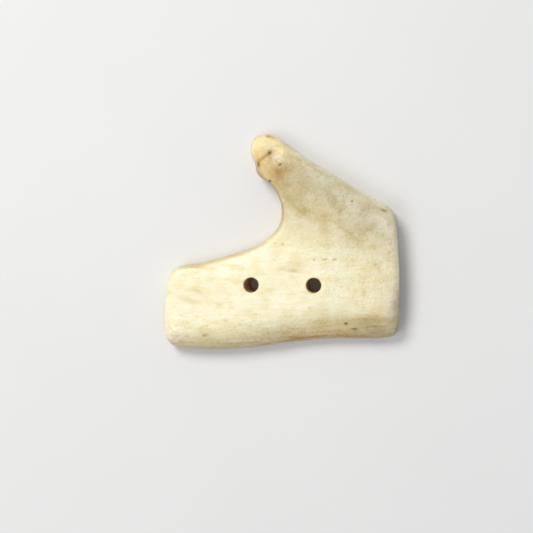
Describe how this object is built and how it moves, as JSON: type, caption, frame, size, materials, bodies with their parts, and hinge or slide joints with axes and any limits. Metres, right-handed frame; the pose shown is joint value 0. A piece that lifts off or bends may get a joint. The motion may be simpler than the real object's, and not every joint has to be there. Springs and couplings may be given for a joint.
{
  "type": "sew-on button",
  "caption": "forked toggle-style button cut from a piece of deer antler, flat back, rounded front, drilled for sewing to a garment",
  "frame": {"origin": "on the flat back face, under the midpoint between the front mouths of the two sewing holes", "axes": "+X along the line of the sewing holes and the length of the beam, towards the fork; +Y towards the tine; +Z out of the rounded front, away from the garment"},
  "size_m": [0.0515, 0.0473, 0.0072],
  "materials": {
    "antler": "satin"
  },
  "bodies": {
    "root": {"antler_button": "antler"}
  },
  "joints": []
}
